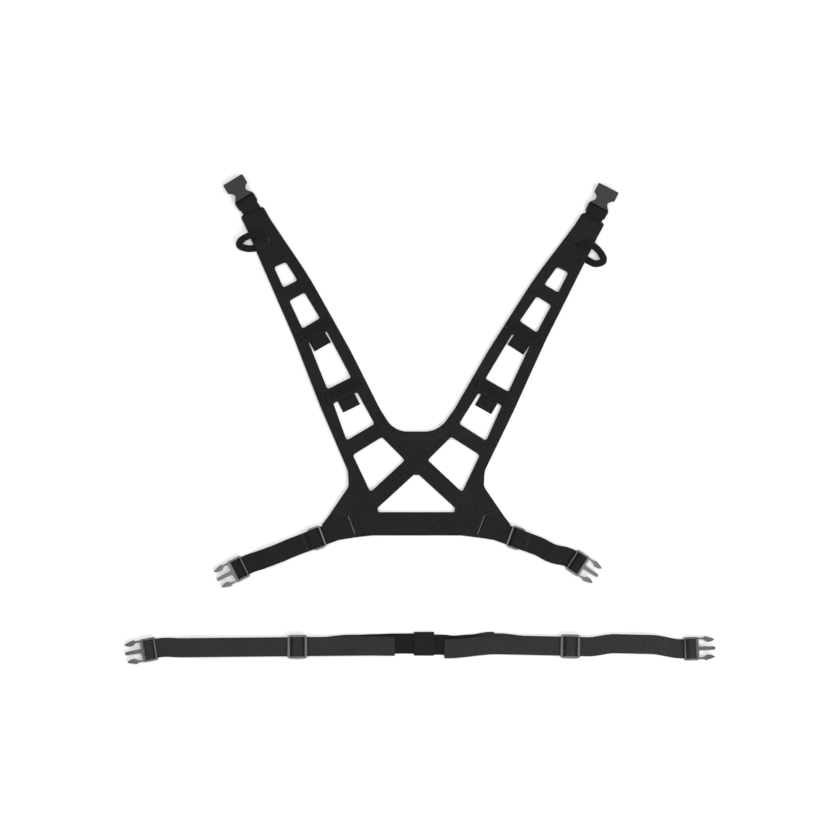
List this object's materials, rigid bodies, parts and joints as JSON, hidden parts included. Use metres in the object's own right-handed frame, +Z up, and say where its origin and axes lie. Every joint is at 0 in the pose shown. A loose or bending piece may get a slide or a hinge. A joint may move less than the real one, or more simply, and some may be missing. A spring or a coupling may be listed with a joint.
{
  "type": "chest pack harness",
  "caption": "Flat chest pack harness: a cut-out laminate yoke with two arms and side straps, and a separate elastic waist strap, on side-release buckles.",
  "frame": {"origin": "middle of the bounding box, on the surface the set lies on", "axes": "+X to the right along the waist strap, +Y from the waist strap towards the socket buckles, +Z up from the outer faces"},
  "size_m": [0.7924, 0.6684, 0.01],
  "materials": {
    "laminate": "matte coated laminate",
    "webbing": "matte woven nylon",
    "elastic": "matte knitted elastic",
    "acetal": "satin moulded plastic"
  },
  "bodies": {
    "yoke": {"yoke_panel": "laminate", "arm_webbing_left": "webbing", "cable_loop_left": "elastic", "rung_band_left_upper": "elastic", "rung_band_left_lower": "elastic", "side_strap_left": "webbing", "arm_webbing_right": "webbing", "cable_loop_right": "elastic", "rung_band_right_upper": "elastic", "rung_band_right_lower": "elastic", "side_strap_right": "webbing", "tab_sewn_ends": "webbing"},
    "waist": {"waist_elastic": "elastic", "waist_strap_left": "webbing", "waist_strap_right": "webbing"},
    "keeper": {"waist_keeper": "webbing"},
    "side_slider_left": {"side_slider_left": "acetal"},
    "waist_slider_left": {"waist_slider_left": "acetal"},
    "socket_left": {"socket_left_buckle": "acetal", "socket_left_webbing": "webbing"},
    "side_left_end": {"side_left_buckle": "acetal", "side_left_webbing": "webbing"},
    "side_left_prong_a": {"side_left_prong_a": "acetal"},
    "side_left_prong_b": {"side_left_prong_b": "acetal"},
    "waist_left_end": {"waist_left_buckle": "acetal", "waist_left_webbing": "webbing"},
    "waist_left_prong_a": {"waist_left_prong_a": "acetal"},
    "waist_left_prong_b": {"waist_left_prong_b": "acetal"},
    "tab_left_upper": {"tab_left_upper": "webbing"},
    "tab_left_lower": {"tab_left_lower": "webbing"},
    "side_slider_right": {"side_slider_right": "acetal"},
    "waist_slider_right": {"waist_slider_right": "acetal"},
    "socket_right": {"socket_right_buckle": "acetal", "socket_right_webbing": "webbing"},
    "side_right_end": {"side_right_buckle": "acetal", "side_right_webbing": "webbing"},
    "side_right_prong_a": {"side_right_prong_a": "acetal"},
    "side_right_prong_b": {"side_right_prong_b": "acetal"},
    "waist_right_end": {"waist_right_buckle": "acetal", "waist_right_webbing": "webbing"},
    "waist_right_prong_a": {"waist_right_prong_a": "acetal"},
    "waist_right_prong_b": {"waist_right_prong_b": "acetal"},
    "tab_right_upper": {"tab_right_upper": "webbing"},
    "tab_right_lower": {"tab_right_lower": "webbing"}
  },
  "joints": [
    {"name": "waist_lift", "type": "slide", "parent": "yoke", "child": "waist", "axis": [0, 0, 1], "range_m": [0, 0.12]},
    {"name": "keeper_slide", "type": "slide", "parent": "waist", "child": "keeper", "axis": [1, 0, 0], "range_m": [-0.024, 0.013]},
    {"name": "side_slider_left_slide", "type": "slide", "parent": "yoke", "child": "side_slider_left", "axis": [-0.9342, -0.3567, 0], "range_m": [0, 0.025]},
    {"name": "waist_slider_left_slide", "type": "slide", "parent": "waist", "child": "waist_slider_left", "axis": [-1, -0.0091, 0], "range_m": [-0.02, 0.08]},
    {"name": "socket_left_fold", "type": "hinge", "parent": "yoke", "child": "socket_left", "pos_m": [-0.23258, 0.28665, 0.0026], "axis": [0.848, 0.5299, 0], "range_deg": [0, 75]},
    {"name": "side_left_fold", "type": "hinge", "parent": "yoke", "child": "side_left_end", "pos_m": [-0.23317, -0.20156, 0.0026], "axis": [-0.4059, 0.9139, 0], "range_deg": [0, 75]},
    {"name": "side_left_squeeze_a", "type": "hinge", "parent": "side_left_end", "child": "side_left_prong_a", "pos_m": [-0.24843, -0.22426, 0.0032], "axis": [0, 0, 1], "range_deg": [-8, 0], "stiffness_Nm_per_rad": 0.2},
    {"name": "side_left_squeeze_b", "type": "hinge", "parent": "side_left_end", "child": "side_left_prong_b", "pos_m": [-0.26051, -0.20056, 0.0032], "axis": [0, 0, 1], "range_deg": [0, 8], "stiffness_Nm_per_rad": 0.2},
    {"name": "waist_left_fold", "type": "hinge", "parent": "waist", "child": "waist_left_end", "pos_m": [-0.35111, -0.31279, 0.0026], "axis": [-0.0943, 0.9955, 0], "range_deg": [0, 75]},
    {"name": "waist_left_squeeze_a", "type": "hinge", "parent": "waist_left_end", "child": "waist_left_prong_a", "pos_m": [-0.37225, -0.33015, 0.0032], "axis": [0, 0, 1], "range_deg": [-8, 0], "stiffness_Nm_per_rad": 0.2},
    {"name": "waist_left_squeeze_b", "type": "hinge", "parent": "waist_left_end", "child": "waist_left_prong_b", "pos_m": [-0.37701, -0.30398, 0.0032], "axis": [0, 0, 1], "range_deg": [0, 8], "stiffness_Nm_per_rad": 0.2},
    {"name": "tab_left_upper_fold", "type": "hinge", "parent": "yoke", "child": "tab_left_upper", "pos_m": [-0.1402, 0.10841, 0.0014], "axis": [-0.863, -0.5051, 0], "range_deg": [0, 60]},
    {"name": "tab_left_lower_fold", "type": "hinge", "parent": "yoke", "child": "tab_left_lower", "pos_m": [-0.09954, 0.02424, 0.0014], "axis": [-0.8948, -0.4465, 0], "range_deg": [0, 60]},
    {"name": "side_slider_right_slide", "type": "slide", "parent": "yoke", "child": "side_slider_right", "axis": [0.9367, -0.3502, 0], "range_m": [0, 0.02]},
    {"name": "waist_slider_right_slide", "type": "slide", "parent": "waist", "child": "waist_slider_right", "axis": [0.9998, -0.0223, 0], "range_m": [-0.045, 0.012]},
    {"name": "socket_right_fold", "type": "hinge", "parent": "yoke", "child": "socket_right", "pos_m": [0.23792, 0.27361, 0.0026], "axis": [0.8854, -0.4648, 0], "range_deg": [0, 75]},
    {"name": "side_right_fold", "type": "hinge", "parent": "yoke", "child": "side_right_end", "pos_m": [0.20237, -0.19254, 0.0026], "axis": [-0.4501, -0.893, 0], "range_deg": [0, 75]},
    {"name": "side_right_squeeze_a", "type": "hinge", "parent": "side_right_end", "child": "side_right_prong_a", "pos_m": [0.22965, -0.19441, 0.0032], "axis": [0, 0, 1], "range_deg": [-8, 0], "stiffness_Nm_per_rad": 0.2},
    {"name": "side_right_squeeze_b", "type": "hinge", "parent": "side_right_end", "child": "side_right_prong_b", "pos_m": [0.21517, -0.21672, 0.0032], "axis": [0, 0, 1], "range_deg": [0, 8], "stiffness_Nm_per_rad": 0.2},
    {"name": "waist_right_fold", "type": "hinge", "parent": "waist", "child": "waist_right_end", "pos_m": [0.35169, -0.31399, 0.0026], "axis": [0.0019, -1, 0], "range_deg": [0, 75]},
    {"name": "waist_right_squeeze_a", "type": "hinge", "parent": "waist_right_end", "child": "waist_right_prong_a", "pos_m": [0.37523, -0.30007, 0.0032], "axis": [0, 0, 1], "range_deg": [-8, 0], "stiffness_Nm_per_rad": 0.2},
    {"name": "waist_right_squeeze_b", "type": "hinge", "parent": "waist_right_end", "child": "waist_right_prong_b", "pos_m": [0.37593, -0.32666, 0.0032], "axis": [0, 0, 1], "range_deg": [0, 8], "stiffness_Nm_per_rad": 0.2},
    {"name": "tab_right_upper_fold", "type": "hinge", "parent": "yoke", "child": "tab_right_upper", "pos_m": [0.13876, 0.10411, 0.0014], "axis": [-0.8345, 0.5511, 0], "range_deg": [0, 60]},
    {"name": "tab_right_lower_fold", "type": "hinge", "parent": "yoke", "child": "tab_right_lower", "pos_m": [0.09361, 0.02226, 0.0014], "axis": [-0.8693, 0.4943, 0], "range_deg": [0, 60]}
  ]
}
